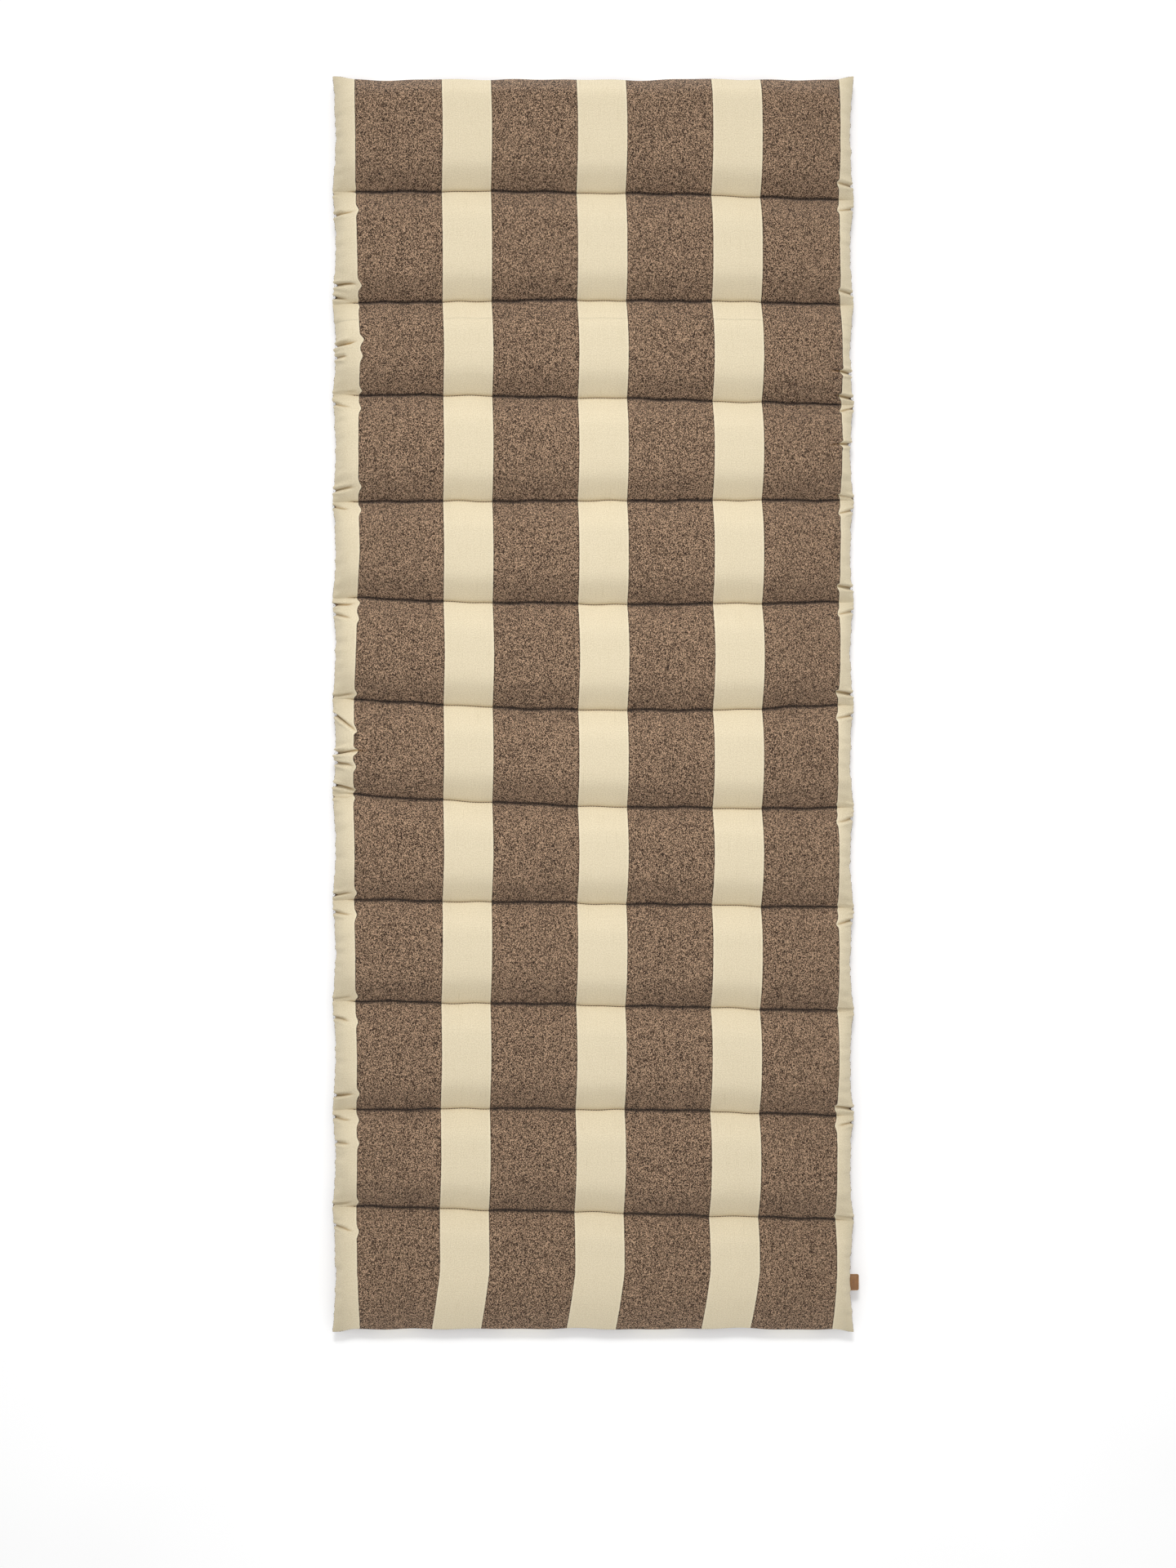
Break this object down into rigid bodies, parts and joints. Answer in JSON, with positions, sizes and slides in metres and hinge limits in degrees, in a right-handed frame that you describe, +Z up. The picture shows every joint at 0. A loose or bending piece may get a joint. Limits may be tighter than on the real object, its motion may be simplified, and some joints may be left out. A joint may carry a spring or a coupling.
{
  "type": "futon mattress",
  "caption": "Thin quilted floor mattress in striped cloth, sewn across into stuffed channels so that it folds or rolls up, with a small leather tab in its edge.",
  "frame": {"origin": "centre of the mattress in plan, on the floor it lies on", "axes": "+Y along the length towards the head end, +X across the width towards the side with the leather tab, +Z up"},
  "size_m": [0.761, 1.8, 0.056],
  "materials": {
    "striped_cloth": "woven cotton and linen, mottled brown with cream stripes, matt",
    "wadding": "white polyester wadding, matt",
    "sewing_thread": "brown cotton thread, matt",
    "tab_leather": "tan leather, blank, light burnished edge"
  },
  "bodies": {
    "channel_01": {"filling_pad_01": "wadding", "top_cover_01": "striped_cloth", "bottom_cover_01": "striped_cloth", "edge_thread_01": "sewing_thread"},
    "channel_02": {"filling_pad_02": "wadding", "top_cover_02": "striped_cloth", "bottom_cover_02": "striped_cloth", "edge_thread_02": "sewing_thread", "quilt_thread_01": "sewing_thread"},
    "channel_03": {"filling_pad_03": "wadding", "top_cover_03": "striped_cloth", "bottom_cover_03": "striped_cloth", "edge_thread_03": "sewing_thread", "quilt_thread_02": "sewing_thread"},
    "channel_04": {"filling_pad_04": "wadding", "top_cover_04": "striped_cloth", "bottom_cover_04": "striped_cloth", "edge_thread_04": "sewing_thread", "quilt_thread_03": "sewing_thread"},
    "channel_05": {"filling_pad_05": "wadding", "top_cover_05": "striped_cloth", "bottom_cover_05": "striped_cloth", "edge_thread_05": "sewing_thread", "quilt_thread_04": "sewing_thread"},
    "channel_06": {"filling_pad_06": "wadding", "top_cover_06": "striped_cloth", "bottom_cover_06": "striped_cloth", "edge_thread_06": "sewing_thread", "quilt_thread_05": "sewing_thread", "quilt_thread_06": "sewing_thread"},
    "channel_07": {"filling_pad_07": "wadding", "top_cover_07": "striped_cloth", "bottom_cover_07": "striped_cloth", "edge_thread_07": "sewing_thread", "quilt_thread_07": "sewing_thread"},
    "channel_08": {"filling_pad_08": "wadding", "top_cover_08": "striped_cloth", "bottom_cover_08": "striped_cloth", "edge_thread_08": "sewing_thread", "quilt_thread_08": "sewing_thread"},
    "channel_09": {"filling_pad_09": "wadding", "top_cover_09": "striped_cloth", "bottom_cover_09": "striped_cloth", "edge_thread_09": "sewing_thread", "quilt_thread_09": "sewing_thread"},
    "channel_10": {"filling_pad_10": "wadding", "top_cover_10": "striped_cloth", "bottom_cover_10": "striped_cloth", "edge_thread_10": "sewing_thread", "quilt_thread_10": "sewing_thread"},
    "channel_11": {"filling_pad_11": "wadding", "top_cover_11": "striped_cloth", "bottom_cover_11": "striped_cloth", "edge_thread_11": "sewing_thread", "quilt_thread_11": "sewing_thread"},
    "channel_12": {"filling_pad_12": "wadding", "top_cover_12": "striped_cloth", "bottom_cover_12": "striped_cloth", "edge_thread_12": "sewing_thread", "label_tab": "tab_leather"}
  },
  "joints": [
    {"name": "seam_01_fold", "type": "hinge", "parent": "channel_02", "child": "channel_01", "pos_m": [0, 0.734, 0.02], "axis": [1, 0, 0], "range_deg": [-100, 100]},
    {"name": "seam_02_fold", "type": "hinge", "parent": "channel_03", "child": "channel_02", "pos_m": [0, 0.5778, 0.02], "axis": [-1, 0, 0], "range_deg": [-100, 100]},
    {"name": "seam_03_fold", "type": "hinge", "parent": "channel_04", "child": "channel_03", "pos_m": [0, 0.4406, 0.02], "axis": [1, 0, 0], "range_deg": [-100, 100]},
    {"name": "seam_04_fold", "type": "hinge", "parent": "channel_05", "child": "channel_04", "pos_m": [0, 0.2934, 0.02], "axis": [-1, 0, 0], "range_deg": [-100, 100]},
    {"name": "seam_05_fold", "type": "hinge", "parent": "channel_06", "child": "channel_05", "pos_m": [0, 0.1462, 0.02], "axis": [1, 0, 0], "range_deg": [-100, 100]},
    {"name": "seam_06_fold", "type": "hinge", "parent": "channel_06", "child": "channel_07", "pos_m": [0, -0.002, 0.02], "axis": [-1, 0, 0], "range_deg": [-100, 100]},
    {"name": "seam_07_fold", "type": "hinge", "parent": "channel_07", "child": "channel_08", "pos_m": [0, -0.1452, 0.02], "axis": [1, 0, 0], "range_deg": [-100, 100]},
    {"name": "seam_08_fold", "type": "hinge", "parent": "channel_08", "child": "channel_09", "pos_m": [0, -0.2884, 0.02], "axis": [-1, 0, 0], "range_deg": [-100, 100]},
    {"name": "seam_09_fold", "type": "hinge", "parent": "channel_09", "child": "channel_10", "pos_m": [0, -0.4366, 0.02], "axis": [1, 0, 0], "range_deg": [-100, 100]},
    {"name": "seam_10_fold", "type": "hinge", "parent": "channel_10", "child": "channel_11", "pos_m": [0, -0.5868, 0.02], "axis": [-1, 0, 0], "range_deg": [-100, 100]},
    {"name": "seam_11_fold", "type": "hinge", "parent": "channel_11", "child": "channel_12", "pos_m": [0, -0.735, 0.02], "axis": [1, 0, 0], "range_deg": [-100, 100]}
  ]
}
